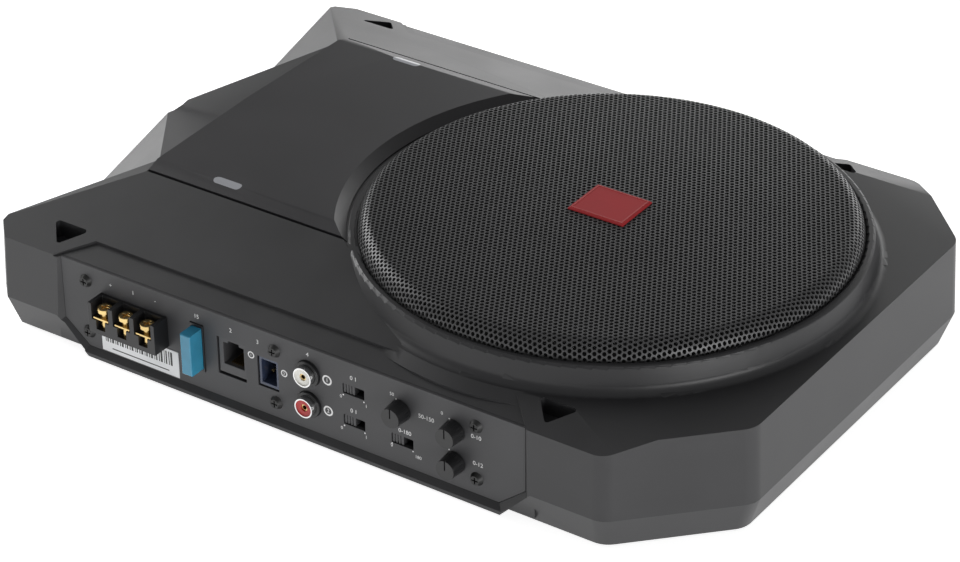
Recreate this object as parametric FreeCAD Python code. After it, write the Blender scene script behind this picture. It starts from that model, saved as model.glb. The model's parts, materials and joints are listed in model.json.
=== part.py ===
"""Powered under-seat car subwoofer: a shallow two-part housing with a mesh-covered woofer,
a built-in amplifier under a raised cover, and one panel that carries all connections.

Millimetres, +Z up. X runs along the long side (woofer at +X), the connection panel faces -Y.
Y is measured from the housing's middle while the parts are built; every part is then moved
by ORIGIN_SHIFT_Y, so that the origin is under the middle of the whole object.
"""
import FreeCAD, Part
import math
import os

V = FreeCAD.Vector
Y_AXIS = V(0, 1, 0)
Z_AXIS = V(0, 0, 1)

# ---------------------------------------------------------------- overall housing
LENGTH = 345.0
WIDTH = 250.0
HALF_L = LENGTH / 2
HALF_W = WIDTH / 2
BASE_Z = 1.5                 # underside of the base tray, on its feet
SEAM_Z = 16.0                # joint between the base tray and the top housing
WALL = 3.0
FLOOR = 2.5
DRAFT = 0.0427               # inward lean of the side walls, mm per mm of height
BASE_TAPER = 5.0             # how far the base tray's ends pull in at the bottom
RIGHT_CUT_X = 130.3          # big corner cuts at the woofer end
RIGHT_CUT_Y = 82.2
LEFT_CUT_X = 164.8           # small corner cuts at the amplifier end
LEFT_CUT_Y = 117.2
CORNER_R = 11.0
MODEL_TOP = 72.0             # above everything, for construction solids

# ---------------------------------------------------------------- top surfaces
SLOPE = 0.3295               # fall of the long side slopes, mm per mm of Y
SLOPE_Z0 = 85.56             # height of the side slopes' plane at Y = 0
ROOF_Z = 62.0
SEAT_Z = 60.5                # sunk seat of the amplifier cover
ROOF_HALF_W = 71.5
DECK_Z = 49.8                # flat deck around the woofer
ROOF_LEFT_X = -129.5
OVERSHOOT_X = -174.0         # the folded end is built a little past the wall, then trimmed

# ---------------------------------------------------------------- woofer ring
RING_X = 54.7
RING_BORE_R = 103.5
RING_TOP_Z = 61.0
RING_WALL_R = 107.5
SHELF_R = 88.0
SHELF_Z = 47.5
SHELF_T = 3.0
COIL_R = 26.0                # outside of the voice coil's former
COIL_FORMER = 0.7
COIL_WIRE = 0.7
SPEAKER_SCREW_RING_R = 99.3

# ---------------------------------------------------------------- amplifier cover
COVER_TOP_Z = 64.5
COVER_FOLD_Y = 64.0
COVER_EDGE_Y = 70.3
COVER_EDGE_Z = 62.4
COVER_PEAK_X = -131.0        # its left edge comes to a shallow point
COVER_SKIN = 2.0
LED_X = -92.5
LED_LENGTH = 13.9
LED_WIDTH = 4.0

# ---------------------------------------------------------------- bracket pockets
POCKET_LEFT_X = -140.5
POCKET_RIGHT_X = 100.5
POCKET_Y = 112.0
POCKET_FLOOR_Z = 42.5
BRACKET_HOLE_R = 2.1
BRACKET_HOLE_END_Z = 33.0
BRACKET_BOSS_R = 5.0

# ---------------------------------------------------------------- connection panel
PANEL_Y = -122.8             # outer face
PANEL_T = 2.0
PANEL_BACK_Y = PANEL_Y + PANEL_T
PANEL_LEFT_X = -134.8
PANEL_RIGHT_X = 94.5
PANEL_TOP_Z = 44.6
PANEL_BOTTOM_Z = 5.5
PANEL_CUT_X = 12.3           # cut lower corners
PANEL_CUT_Z = 10.0
RECESS_DEEP_Y = 111.0        # inner edge of the sunk band above the panel
RECESS_LEFT_X = -125.5
RECESS_RIGHT_X = 83.0
BAND_DROP = 1.2
BAND_SLOPE = 0.29
PANEL_SCREW_X = (-122.1, -25.1, 72.0)
PANEL_SCREW_Z = (37.1, 12.6)
POST_LOW_Z = 32.6            # lower end of the upper row of screw posts
FIT = 0.15                   # gap round pieces that drop into windows

# ---------------------------------------------------------------- fasteners
HOUSING_SCREW_R = 1.6
HOUSING_SCREWS = [(-150, -95), (-150, 95), (-35, -98), (-35, 98),
                  (120, -101), (120, 101), (158, -45), (158, 45)]
BOSS_R = 4.5
BOSS_SPLIT_Z = 10.0
HEAD_POCKET_R = 3.8
BOARD_Z = 9.0
BOARD_T = 1.6
STANDOFFS = [(-150, -60), (-150, 60), (-90, -100), (-90, 84), (-22, -60), (-22, 60), (80, -98)]
FEET = [(-125, -95), (-125, 95), (95, -98), (95, 98)]
FOOT_R = 9.0
TOROID_X = -93.0
TOROID_Y = 12.0

# ---------------------------------------------------------------- terminals, fuse, sockets
TERMINAL_X = (-108.1, -97.0, -85.9)
TERMINAL_LEFT_X = -114.3
TERMINAL_RIGHT_X = -79.7
TERMINAL_FRONT_Y = -131.6
TERMINAL_SCREW_Y = -128.2
TERMINAL_BACK_Y = -124.2     # back wall of the screw bays
TERMINAL_LOW_Z = 20.0
TERMINAL_LEDGE_Z = 26.6      # the clamp plates lie on this ledge
TERMINAL_TOP_Z = 34.0
TERMINAL_SCREW_R = 1.75
CLAMP_Z = TERMINAL_LEDGE_Z + FIT
CLAMP_T = 0.9
SCREW_HEAD_Z = 29.9
SCREW_HEAD_R = 3.1
SCREW_HEAD_T = 2.0
FUSE_X = -64.35
FUSE_Z = 25.25
FUSE_HEIGHT = 19.0
FUSE_THICK = 5.2
FUSE_FRONT_Y = -130.8
FUSE_SEAT_Y = -119.0         # back of the fuse's body, in its holder
FUSE_BLADE_Z = 6.6           # blades lie this far above and below the middle
FUSE_BLADE_W = 5.2
FUSE_BLADE_T = 0.7
JACK_X = -46.2
JACK_PITCH = 1.02
JACK_BACK_Y = -110.5
JACK_FLOOR_Z = 21.9
SOCKET_BACK_Y = -113.5
SOCKET_PINS_X = (-30.45, -26.65)
SOCKET_PINS_Z = (23.0, 27.6)
RCA_X = -8.5
RCA_Z = (32.5, 18.0)
RCA_FRONT_Y = -127.0         # front of the metal shells
RCA_BACK_Y = -112.0
RCA_SHELL_R = 4.3
RCA_INSERT_R = 3.75
RCA_CONTACT_R = 1.6
RCA_WINDOW_R = 5.9
SWITCHES = [("1", 13.6, 31.8), ("2", 13.6, 17.2), ("3", 36.8, 17.0)]
SWITCH_W = 10.5
SWITCH_H = 4.6
SLIDER_W = 5.4
KNOBS = [("crossover", 36.3, 31.4), ("level", 61.9, 31.5), ("boost", 61.9, 16.8)]
KNOB_LENGTH = 7.0
KNOB_BASE_R = 4.8
KNOB_TIP_R = 4.2

ORIGIN_SHIFT_Y = -(TERMINAL_FRONT_Y + HALF_W) / 2


# ================================================================ helpers
def box(x0, x1, y0, y1, z0, z1):
    return Part.makeBox(x1 - x0, y1 - y0, z1 - z0, V(x0, y0, z0))


def rod(radius, start, end):
    """Cylinder between two points."""
    along = V(*end) - V(*start)
    return Part.makeCylinder(radius, along.Length, V(*start), along)


def tube(outer_r, inner_r, start, end):
    return rod(outer_r, start, end).cut(rod(inner_r, start, end))


def union(shapes):
    shapes = list(shapes)
    if len(shapes) == 1:
        return shapes[0]
    return shapes[0].multiFuse(shapes[1:]).removeSplitter()


def polygon_face(points):
    return Part.Face(Part.makePolygon([V(*p) for p in points] + [V(*points[0])]))


def prism_y(outline_xz, y0, y1):
    """Outline in X and Z, pushed along Y."""
    return polygon_face([(x, y0, z) for x, z in outline_xz]).extrude(V(0, y1 - y0, 0))


def prism_x(outline_yz, x0, x1):
    """Outline in Y and Z, pushed along X."""
    return polygon_face([(x0, y, z) for y, z in outline_yz]).extrude(V(x1 - x0, 0, 0))


def prism_z(outline_xy, z0, z1):
    """Outline in X and Y, pushed along Z."""
    return polygon_face([(x, y, z0) for x, y in outline_xy]).extrude(V(0, 0, z1 - z0))


def turned(outline_rz, centre_x=RING_X):
    """Outline in radius and Z, turned about the woofer's vertical axis."""
    face = polygon_face([(centre_x + r, 0, z) for r, z in outline_rz])
    return face.revolve(V(centre_x, 0, 0), Z_AXIS, 360)


def mirrored(shape):
    """The same shape on the other long side."""
    return shape.mirror(V(0, 0, 0), Y_AXIS)


def rounded_window(cx, cz, width, height, corner, y0, y1):
    block = box(cx - width / 2, cx + width / 2, y0, y1, cz - height / 2, cz + height / 2)
    along_y = [e for e in block.Edges if abs(e.tangentAt(e.FirstParameter).y) > 0.99]
    return block.makeFillet(corner, along_y)


def slope_z(y):
    return SLOPE_Z0 - SLOPE * abs(y)


def save(name, solids):
    """Write one node, as one solid or as a group of separate ones."""
    if not isinstance(solids, list):
        solids = [solids]
    shape = solids[0] if len(solids) == 1 else Part.makeCompound(solids)
    shape = shape.copy()
    shape.translate(V(0, ORIGIN_SHIFT_Y, 0))
    if not shape.isValid():
        print("not valid:", name)
    shape.exportStep("parts/%s.step" % name)


# ================================================================ housing
def housing_outline(inset=0.0):
    """Plan of the housing, counter-clockwise, pulled in by an inset on every side."""
    corners = [(RIGHT_CUT_X, -HALF_W), (HALF_L, -RIGHT_CUT_Y), (HALF_L, RIGHT_CUT_Y), (RIGHT_CUT_X, HALF_W),
               (-LEFT_CUT_X, HALF_W), (-HALF_L, LEFT_CUT_Y), (-HALF_L, -LEFT_CUT_Y), (-LEFT_CUT_X, -HALF_W)]
    sides = []
    for (x0, y0), (x1, y1) in zip(corners, corners[1:] + corners[:1]):
        length = math.hypot(x1 - x0, y1 - y0)
        normal = (-(y1 - y0) / length, (x1 - x0) / length)
        sides.append((normal, normal[0] * x0 + normal[1] * y0 + inset))
    moved = []
    for (n0, d0), (n1, d1) in zip(sides[-1:] + sides[:-1], sides):
        det = n0[0] * n1[1] - n0[1] * n1[0]
        moved.append(((d0 * n1[1] - d1 * n0[1]) / det, (n0[0] * d1 - n1[0] * d0) / det))
    return moved


def leaning_block(z0, inset0, z1, inset1, corner_r):
    """The housing's plan carried from one height to another, with rounded corners at the woofer end."""
    wires = []
    for z, inset in ((z0, inset0), (z1, inset1)):
        points = [V(x, y, z) for x, y in housing_outline(inset)]
        wires.append(Part.makePolygon(points + points[:1]))
    block = Part.makeLoft(wires, True, True)
    upright = []
    for edge in block.Edges:
        ends = [v.Point for v in edge.Vertexes]
        if abs(ends[0].z - ends[1].z) > 1.0 and min(p.x for p in ends) > 100.0:
            upright.append(edge)
    return block.makeFillet(corner_r, upright)


def upper_draft(inset):
    return leaning_block(SEAM_Z, inset, MODEL_TOP, inset + DRAFT * (MODEL_TOP - SEAM_Z), CORNER_R - inset)


def under_slopes(top_z, drop, x0, x1):
    """Everything under the two side slopes and a flat at top_z; drop lowers the slopes for the inside."""
    out = HALF_W + 5
    shoulder = (SLOPE_Z0 - drop - top_z) / SLOPE
    edge_z = slope_z(out) - drop
    outline = [(-out, 0), (-out, edge_z), (-shoulder, top_z), (shoulder, top_z), (out, edge_z), (out, 0)]
    return prism_x(outline, x0, x1)


def folded_end():
    """The amplifier end: flat facets folded between the side slopes, two valleys and a middle ridge."""
    out_y = HALF_W + 5
    slope_in = (ROOF_LEFT_X, -out_y, slope_z(out_y))
    slope_out = (OVERSHOOT_X, -out_y, slope_z(out_y))
    shoulder = (OVERSHOOT_X, -116.4, slope_z(116.4))
    roof_corner = (ROOF_LEFT_X, -ROOF_HALF_W, slope_z(ROOF_HALF_W))
    crest = (ROOF_LEFT_X, -63.0, 63.5)
    valley = (OVERSHOOT_X, -58.8, 31.4)
    ridge = (OVERSHOOT_X, -3.2, 46.65)
    middle = (ROOF_LEFT_X, 0.0, 52.3)
    facets = [[slope_in, slope_out, shoulder, roof_corner],
              [shoulder, crest, roof_corner],
              [shoulder, valley, crest],
              [valley, ridge, crest],
              [ridge, middle, crest]]
    blocks = [polygon_face(points).extrude(V(0, 0, -80)) for points in facets]
    blocks += [mirrored(block) for block in blocks]
    other_ridge = (ridge[0], -ridge[1], ridge[2])
    blocks.append(polygon_face([ridge, other_ridge, middle]).extrude(V(0, 0, -80)))
    return union(blocks)


def ring_profile():
    """Section of the woofer ring: mounting shelf, bore, rounded rim, steep wall and flared foot."""
    foot_r = RING_WALL_R + 5.3
    foot_bend = 4.0
    inner_bend = V(RING_BORE_R + 0.45, 0, RING_TOP_Z - 0.4)
    outer_bend = V(RING_WALL_R - 0.45, 0, RING_TOP_Z - 0.45)
    low_bend = foot_bend * (1 - math.sin(math.pi / 4))
    points = [V(SHELF_R, 0, SHELF_Z - SHELF_T), V(SHELF_R, 0, SHELF_Z), V(RING_BORE_R, 0, SHELF_Z),
              V(RING_BORE_R, 0, RING_TOP_Z - 1.4), V(RING_BORE_R + 1.4, 0, RING_TOP_Z),
              V(RING_WALL_R - 1.5, 0, RING_TOP_Z), V(RING_WALL_R, 0, RING_TOP_Z - 1.5),
              V(foot_r - foot_bend, 0, DECK_Z + foot_bend), V(foot_r, 0, DECK_Z),
              V(foot_r + 5.4, 0, DECK_Z - 2.9), V(foot_r + 5.4, 0, SHELF_Z - SHELF_T)]
    edges = [Part.LineSegment(points[i], points[i + 1]).toShape() for i in (0, 1, 2)]
    edges.append(Part.Arc(points[3], inner_bend, points[4]).toShape())
    edges.append(Part.LineSegment(points[4], points[5]).toShape())
    edges.append(Part.Arc(points[5], outer_bend, points[6]).toShape())
    edges.append(Part.LineSegment(points[6], points[7]).toShape())
    mid_foot = V(foot_r - foot_bend + low_bend, 0, DECK_Z + low_bend)
    edges.append(Part.Arc(points[7], mid_foot, points[8]).toShape())
    edges += [Part.LineSegment(points[i], points[(i + 1) % 11]).toShape() for i in (8, 9, 10)]
    return Part.Wire(edges)


def woofer_ring():
    face = Part.Face(ring_profile())
    face.translate(V(RING_X, 0, 0))
    return face.revolve(V(RING_X, 0, 0), Z_AXIS, 360)


def bore_block():
    return rod(RING_BORE_R, (RING_X, 0, 20), (RING_X, 0, MODEL_TOP))


def rim_cone():
    """Space above the ring's rim, which opens as a cone through the roof and the cover."""
    rise = 12.0
    start_r = RING_WALL_R + 0.3
    return turned([(0, RING_TOP_Z), (start_r, RING_TOP_Z),
                   (start_r + rise * 4.7 / 3.5, RING_TOP_Z + rise), (0, RING_TOP_Z + rise)])


def pocket(centre_x, grow=0.0, z0=POCKET_FLOOR_Z):
    """Three-cornered pocket on the front slope, with its long side inwards."""
    wide = 9.5 + grow
    outline = [(centre_x - wide, -107.5 + grow), (centre_x, -118.5 - grow), (centre_x + wide, -107.5 + grow)]
    block = prism_z(outline, z0, MODEL_TOP)
    upright = [e for e in block.Edges if abs(e.tangentAt(e.FirstParameter).z) > 0.99]
    return block.makeFillet(1.4, upright)


def both_sides(shapes):
    return shapes + [mirrored(shape) for shape in shapes]


def sunk_band():
    """What is cut away above the panel: a shallow band along the front edge, with slanted ends."""
    side = 130.0
    run = side - RECESS_DEEP_Y
    deep_z = slope_z(RECESS_DEEP_Y) - BAND_DROP
    outline = [(RECESS_LEFT_X, -RECESS_DEEP_Y), (RECESS_LEFT_X - run, -side),
               (RECESS_RIGHT_X + run, -side), (RECESS_RIGHT_X, -RECESS_DEEP_Y)]
    plan = prism_z(outline, SEAM_Z, MODEL_TOP)
    above = prism_x([(-side, deep_z - BAND_SLOPE * run), (-RECESS_DEEP_Y, deep_z),
                     (-RECESS_DEEP_Y, MODEL_TOP), (-side, MODEL_TOP)], -HALF_L, HALF_L)
    return plan.common(above)


def panel_outline(grow=0.0):
    """Panel shape in X and Z: a wide rectangle with its two lower corners cut."""
    left = PANEL_LEFT_X - grow
    right = PANEL_RIGHT_X + grow
    low = PANEL_BOTTOM_Z - grow
    top = PANEL_TOP_Z + grow
    return [(left, top), (left, low + PANEL_CUT_Z), (left + PANEL_CUT_X, low),
            (right - PANEL_CUT_X, low), (right, low + PANEL_CUT_Z), (right, top)]


def panel_recess():
    """The shallow hollow that the panel lies in: open to the front and top, with bevelled edges."""
    depth = HALF_W + 1 + PANEL_Y
    wires = []
    for grow, y in ((FIT, PANEL_Y), (FIT + depth, PANEL_Y - depth)):
        points = [V(x, y, z) for x, z in panel_outline(grow)]
        wires.append(Part.makePolygon(points + points[:1]))
    bevelled = Part.makeLoft(wires, True, True)
    open_top = box(PANEL_LEFT_X, PANEL_RIGHT_X, PANEL_Y - depth, PANEL_Y, PANEL_TOP_Z - 5, PANEL_TOP_Z + 8)
    return bevelled.fuse(open_top)


def panel_ledge(z0, z1):
    """Thicker wall round the panel; the plate rests on it."""
    return box(PANEL_LEFT_X - 4, PANEL_RIGHT_X + 4, PANEL_Y + 0.3, PANEL_BACK_Y + 2.5, z0, z1)


def panel_openings():
    """Holes through the front wall: the plate's own shape, then a smaller one behind its edge."""
    plate_hole = prism_y(panel_outline(FIT), -HALF_W - 1, PANEL_BACK_Y)
    inner_hole = box(PANEL_LEFT_X + 4, PANEL_RIGHT_X - 4, PANEL_BACK_Y - 1, -116, PANEL_BOTTOM_Z + 3, 40.5)
    return [plate_hole, inner_hole]


def panel_posts(z0, z1):
    """Screw posts behind the panel, one for each screw of a row."""
    return [box(x - 4.5, x + 4.5, PANEL_BACK_Y, PANEL_BACK_Y + 8, z0, z1) for x in PANEL_SCREW_X]


def panel_screw_holes():
    return [rod(1.5, (x, PANEL_BACK_Y - 1, z), (x, PANEL_BACK_Y + 8, z))
            for x in PANEL_SCREW_X for z in PANEL_SCREW_Z]


def speaker_screw_places():
    return [(RING_X + SPEAKER_SCREW_RING_R * math.cos(a), SPEAKER_SCREW_RING_R * math.sin(a))
            for a in (math.pi / 8 + i * math.pi / 4 for i in range(8))]


def bracket_places():
    return [(x, y) for x in (POCKET_LEFT_X, POCKET_RIGHT_X) for y in (-POCKET_Y, POCKET_Y)]


def top_outside():
    shape = union([folded_end(),
                   under_slopes(ROOF_Z, 0, ROOF_LEFT_X, RING_X),
                   under_slopes(DECK_Z, 0, ROOF_LEFT_X, HALF_L + 5)])
    shape = shape.common(upper_draft(0.0))
    seat = box(ROOF_LEFT_X, RING_X, -ROOF_HALF_W, ROOF_HALF_W, SEAT_Z, MODEL_TOP)
    return shape.cut(both_sides([sunk_band()]) + [seat])


def top_inside():
    drop = 1.05 * WALL
    left = ROOF_LEFT_X + WALL
    space = union([box(-HALF_L, left, -HALF_W, HALF_W, SEAM_Z - 1, 28.0),
                   under_slopes(SEAT_Z - WALL, drop, left, RING_X),
                   under_slopes(DECK_Z - WALL, drop, left, HALF_L)])
    return space.common(upper_draft(WALL))


def top_housing():
    outside = top_outside()
    pockets = [pocket(x) for x in (POCKET_LEFT_X, POCKET_RIGHT_X)]
    pocket_walls = [pocket(x, 2.5, POCKET_FLOOR_Z - WALL) for x in (POCKET_LEFT_X, POCKET_RIGHT_X)]
    posts = both_sides(pocket_walls + [panel_ledge(SEAM_Z, MODEL_TOP)])
    posts += panel_posts(POST_LOW_Z, MODEL_TOP)
    posts += [rod(BOSS_R, (x, y, SEAM_Z), (x, y, MODEL_TOP)) for x, y in HOUSING_SCREWS]
    posts += [rod(BRACKET_BOSS_R, (x, y, BRACKET_HOLE_END_Z - WALL), (x, y, MODEL_TOP))
              for x, y in bracket_places()]
    posts = [post.common(outside) for post in posts]
    low_ends = [rod(BOSS_R, (x, y, BOSS_SPLIT_Z), (x, y, SEAM_Z + 1)) for x, y in HOUSING_SCREWS]
    ring = woofer_ring().common(upper_draft(0.0))
    shell = outside.cut(top_inside()).cut(bore_block())
    shell = union([shell, ring] + posts + low_ends)
    holes = [rod(HOUSING_SCREW_R, (x, y, 0), (x, y, 24)) for x, y in HOUSING_SCREWS]
    holes += [rod(BRACKET_HOLE_R, (x, y, BRACKET_HOLE_END_Z), (x, y, MODEL_TOP)) for x, y in bracket_places()]
    holes += [rod(1.5, (x, y, 40), (x, y, 60)) for x, y in speaker_screw_places()]
    cuts = both_sides(pockets + [panel_recess()]) + panel_openings()[:1] + panel_screw_holes() + holes
    return shell.cut(cuts + [rim_cone(), inner_wall_hole()])


def inner_wall_hole():
    """The hole behind the panel plate, stopped short of the screw posts."""
    return panel_openings()[1].cut(panel_posts(0, SEAM_Z) + panel_posts(POST_LOW_Z, MODEL_TOP))


def base_tray():
    drop = SEAM_Z - BASE_Z
    floor_z = BASE_Z + FLOOR
    outside = leaning_block(BASE_Z, BASE_TAPER, SEAM_Z, 0.0, CORNER_R)
    sill = prism_y([(-122, BASE_Z), (84, BASE_Z), (98, SEAM_Z), (-138, SEAM_Z)], -HALF_W, -100)
    outside = union([outside] + both_sides([sill]))
    low_inset = BASE_TAPER * (SEAM_Z - floor_z) / drop + WALL
    inside = leaning_block(floor_z, low_inset, SEAM_Z, WALL, CORNER_R - WALL)
    tray = outside.cut(inside)
    ledges = both_sides([panel_ledge(floor_z, SEAM_Z)])
    bosses = [rod(BOSS_R, (x, y, floor_z - 1), (x, y, BOSS_SPLIT_Z)) for x, y in HOUSING_SCREWS]
    standoffs = [rod(3.5, (x, y, floor_z - 1), (x, y, BOARD_Z)) for x, y in STANDOFFS]
    tray = union([tray] + ledges + panel_posts(floor_z, SEAM_Z) + bosses + standoffs)
    cuts = both_sides([panel_recess()]) + panel_openings()[:1] + panel_screw_holes() + [inner_wall_hole()]
    cuts += [rod(HEAD_POCKET_R, (x, y, 0), (x, y, floor_z + 0.5)) for x, y in HOUSING_SCREWS]
    cuts += [rod(HOUSING_SCREW_R + 0.2, (x, y, 0), (x, y, SEAM_Z)) for x, y in HOUSING_SCREWS]
    cuts += [rod(1.3, (x, y, floor_z + 1), (x, y, BOARD_Z)) for x, y in STANDOFFS]
    return tray.cut(cuts)


def housing_screws():
    head_z = BASE_Z + FLOOR + 0.5
    return [rod(3.2, (x, y, head_z - 2.2), (x, y, head_z)).fuse(rod(HOUSING_SCREW_R, (x, y, head_z), (x, y, 23)))
            for x, y in HOUSING_SCREWS]


def rubber_feet():
    return [rod(FOOT_R, (x, y, 0), (x, y, BASE_Z)) for x, y in FEET]


# ================================================================ amplifier cover
def cover_block():
    """Outside of the cover: flat top, two sloping strips, shallow point at its left edge."""
    section = [(-COVER_EDGE_Y, SEAT_Z), (-COVER_EDGE_Y, COVER_EDGE_Z), (-COVER_FOLD_Y, COVER_TOP_Z),
               (COVER_FOLD_Y, COVER_TOP_Z), (COVER_EDGE_Y, COVER_EDGE_Z), (COVER_EDGE_Y, SEAT_Z)]
    plan = [(ROOF_LEFT_X, -ROOF_HALF_W), (COVER_PEAK_X, 0), (ROOF_LEFT_X, ROOF_HALF_W),
            (RING_X, ROOF_HALF_W), (RING_X, -ROOF_HALF_W)]
    block = prism_x(section, COVER_PEAK_X - 1, RING_X).common(prism_z(plan, SEAT_Z, MODEL_TOP))
    ring_space = rod(RING_WALL_R + 0.3, (RING_X, 0, 0), (RING_X, 0, MODEL_TOP))
    return block.cut([folded_end(), rim_cone(), ring_space])


def led_pill(side):
    """Long round-ended window shape over one fold of the cover."""
    reach = (LED_LENGTH - LED_WIDTH) / 2
    y = side * COVER_FOLD_Y
    low = COVER_TOP_Z - COVER_SKIN
    ends = [rod(LED_WIDTH / 2, (LED_X + e * reach, y, low), (LED_X + e * reach, y, MODEL_TOP)) for e in (-1, 1)]
    middle = box(LED_X - reach, LED_X + reach, y - LED_WIDTH / 2, y + LED_WIDTH / 2, low, MODEL_TOP)
    return union(ends + [middle])


def heatsink_cover():
    hollow = box(ROOF_LEFT_X + 3, RING_X, -67, 67, SEAT_Z, COVER_TOP_Z - COVER_SKIN)
    hollow = hollow.cut(rod(RING_WALL_R + 9, (RING_X, 0, 0), (RING_X, 0, MODEL_TOP)))
    return cover_block().cut([hollow, led_pill(-1), led_pill(1)])


def led_windows():
    block = cover_block()
    return [led_pill(side).common(block) for side in (-1, 1)]


# ================================================================ grille
def grille_line(skin):
    """Section line of the grille from its skirt to its crown, moved in by the skin's thickness."""
    shoulder_r = 96.5
    shoulder_z = 59.5
    points = [(103.2 - skin, SHELF_Z + 0.7)]
    for i in range(9):
        a = math.pi / 2 * i / 8
        points.append((shoulder_r + (6.7 - skin) * math.cos(a), shoulder_z + (8.5 - skin) * math.sin(a)))
    for i in range(1, 9):
        r = shoulder_r * (1 - i / 8)
        points.append((r, 69.0 - skin - (r / shoulder_r) ** 2))
    return points


def grille_mesh():
    """Domed grille with a rolled shoulder and a skirt that drops into the ring."""
    return turned(grille_line(0.0) + grille_line(1.0)[::-1])


def grille_badge():
    """Bevelled plain badge in the middle of the grille."""
    block = box(41.0, 67.4, -11.4, 11.4, 67.0, 70.0)
    top_edges = [e for e in block.Edges if min(v.Point.z for v in e.Vertexes) > 69.9]
    under = turned(grille_line(0.0) + [(0, SHELF_Z)])
    return block.makeChamfer(0.6, top_edges).cut(under)


# ================================================================ connection panel
def round_windows():
    """Round holes of the panel: centre X, centre Z and radius."""
    holes = [(RCA_X, z, RCA_WINDOW_R) for z in RCA_Z]
    holes += [(x, z, 2.0) for _, x, z in KNOBS]
    holes += [(x, z, 1.6) for x in PANEL_SCREW_X for z in PANEL_SCREW_Z]
    return holes


def square_windows():
    """Rectangular holes of the panel: centre X, centre Z, width, height."""
    terminal_mid = (TERMINAL_LEFT_X + TERMINAL_RIGHT_X) / 2
    windows = [(terminal_mid, 27.0, 31.4, 11.4), (FUSE_X, FUSE_Z, 7.0, 22.4),
               (-47.1, 25.3, 14.4, 17.6), (-28.75, 24.95, 10.5, 14.1)]
    windows += [(x, z, SWITCH_W, SWITCH_H) for _, x, z in SWITCHES]
    return windows


def control_panel():
    plate = prism_y(panel_outline(), PANEL_Y, PANEL_BACK_Y)
    cuts = [rod(r, (x, PANEL_Y - 1, z), (x, PANEL_BACK_Y + 1, z)) for x, z, r in round_windows()]
    cuts += [rounded_window(x, z, w, h, 0.5, PANEL_Y - 1, PANEL_BACK_Y + 1) for x, z, w, h in square_windows()]
    return plate.cut(cuts)


def panel_screws():
    screws = []
    for x in PANEL_SCREW_X:
        for z in PANEL_SCREW_Z:
            head = Part.makeCone(3.0, 2.0, 1.7, V(x, PANEL_Y, z), V(0, -1, 0))
            shank = rod(1.5, (x, PANEL_Y, z), (x, PANEL_BACK_Y + 7, z))
            cross = [box(x - 1.5, x + 1.5, PANEL_Y - 2, PANEL_Y - 0.6, z - 0.3, z + 0.3),
                     box(x - 0.3, x + 0.3, PANEL_Y - 2, PANEL_Y - 0.6, z - 1.5, z + 1.5)]
            screws.append(head.fuse(shank).cut(cross))
    return screws


def rating_label():
    return box(-115.5, -75.0, PANEL_Y - 0.2, PANEL_Y, 6.2, 18.6)


def terminal_block():
    """Three-way barrier block: open bays for the screws, wire slots in front."""
    front = TERMINAL_FRONT_Y - 1
    bay = 4.4
    slot = 2.3
    slot_low = TERMINAL_LOW_Z + 2.3
    block = box(TERMINAL_LEFT_X, TERMINAL_RIGHT_X, TERMINAL_FRONT_Y, PANEL_Y, TERMINAL_LOW_Z, TERMINAL_TOP_Z)
    mid = (TERMINAL_LEFT_X + TERMINAL_RIGHT_X) / 2
    block = block.fuse(box(mid - 15.5, mid + 15.5, PANEL_Y, -110, TERMINAL_LOW_Z + 1.5, TERMINAL_TOP_Z - 1.5))
    cuts = []
    for x in TERMINAL_X:
        cuts.append(box(x - bay, x + bay, front, TERMINAL_BACK_Y, TERMINAL_LEDGE_Z, TERMINAL_TOP_Z + 1))
        cuts.append(box(x - slot, x + slot, front, TERMINAL_BACK_Y, slot_low, TERMINAL_LEDGE_Z))
        cuts.append(rod(TERMINAL_SCREW_R + 0.05, (x, TERMINAL_SCREW_Y, TERMINAL_LOW_Z + 0.6),
                        (x, TERMINAL_SCREW_Y, slot_low + 0.7)))
    return block.cut(cuts)


def clamp_plate(x):
    """Loose plate that holds the wire; it rides up with its screw."""
    half = 3.9
    front = TERMINAL_FRONT_Y + 0.4
    plate = box(x - half, x + half, front, TERMINAL_BACK_Y - 0.5, CLAMP_Z, CLAMP_Z + CLAMP_T)
    hole = rod(TERMINAL_SCREW_R + 0.05, (x, TERMINAL_SCREW_Y, CLAMP_Z - 1), (x, TERMINAL_SCREW_Y, CLAMP_Z + 2))
    return plate.cut(hole)


def terminal_screw(x):
    """Round-headed screw with a cross slot."""
    y = TERMINAL_SCREW_Y
    long_half = 1.9
    thin_half = 0.4
    slot_z = SCREW_HEAD_Z + 0.8
    top = SCREW_HEAD_Z + SCREW_HEAD_T
    head = rod(SCREW_HEAD_R, (x, y, SCREW_HEAD_Z), (x, y, top))
    cross = [box(x - long_half, x + long_half, y - thin_half, y + thin_half, slot_z, top + 1),
             box(x - thin_half, x + thin_half, y - long_half, y + long_half, slot_z, top + 1)]
    shank = rod(TERMINAL_SCREW_R, (x, y, TERMINAL_LOW_Z + 1), (x, y, SCREW_HEAD_Z))
    return head.fuse(shank).cut(cross)


def fuse_holder():
    shell = box(-69.2, -59.5, PANEL_BACK_Y, -107, 12.9, 37.6)
    shell = shell.fuse(box(FUSE_X - 3.4, FUSE_X + 3.4, PANEL_Y - 0.6, PANEL_BACK_Y, 14.2, 36.3))
    half_t = FUSE_THICK / 2 + FIT
    half_h = FUSE_HEIGHT / 2 + 0.25
    cuts = [box(FUSE_X - half_t, FUSE_X + half_t, PANEL_Y - 1, FUSE_SEAT_Y + 0.3, FUSE_Z - half_h, FUSE_Z + half_h)]
    slot_t = FUSE_BLADE_T / 2 + FIT
    slot_w = FUSE_BLADE_W / 2 + 0.25
    for side in (-1, 1):
        z = FUSE_Z + side * FUSE_BLADE_Z
        cuts.append(box(FUSE_X - slot_t, FUSE_X + slot_t, FUSE_SEAT_Y, -109.5, z - slot_w, z + slot_w))
    return shell.cut(cuts)


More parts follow.
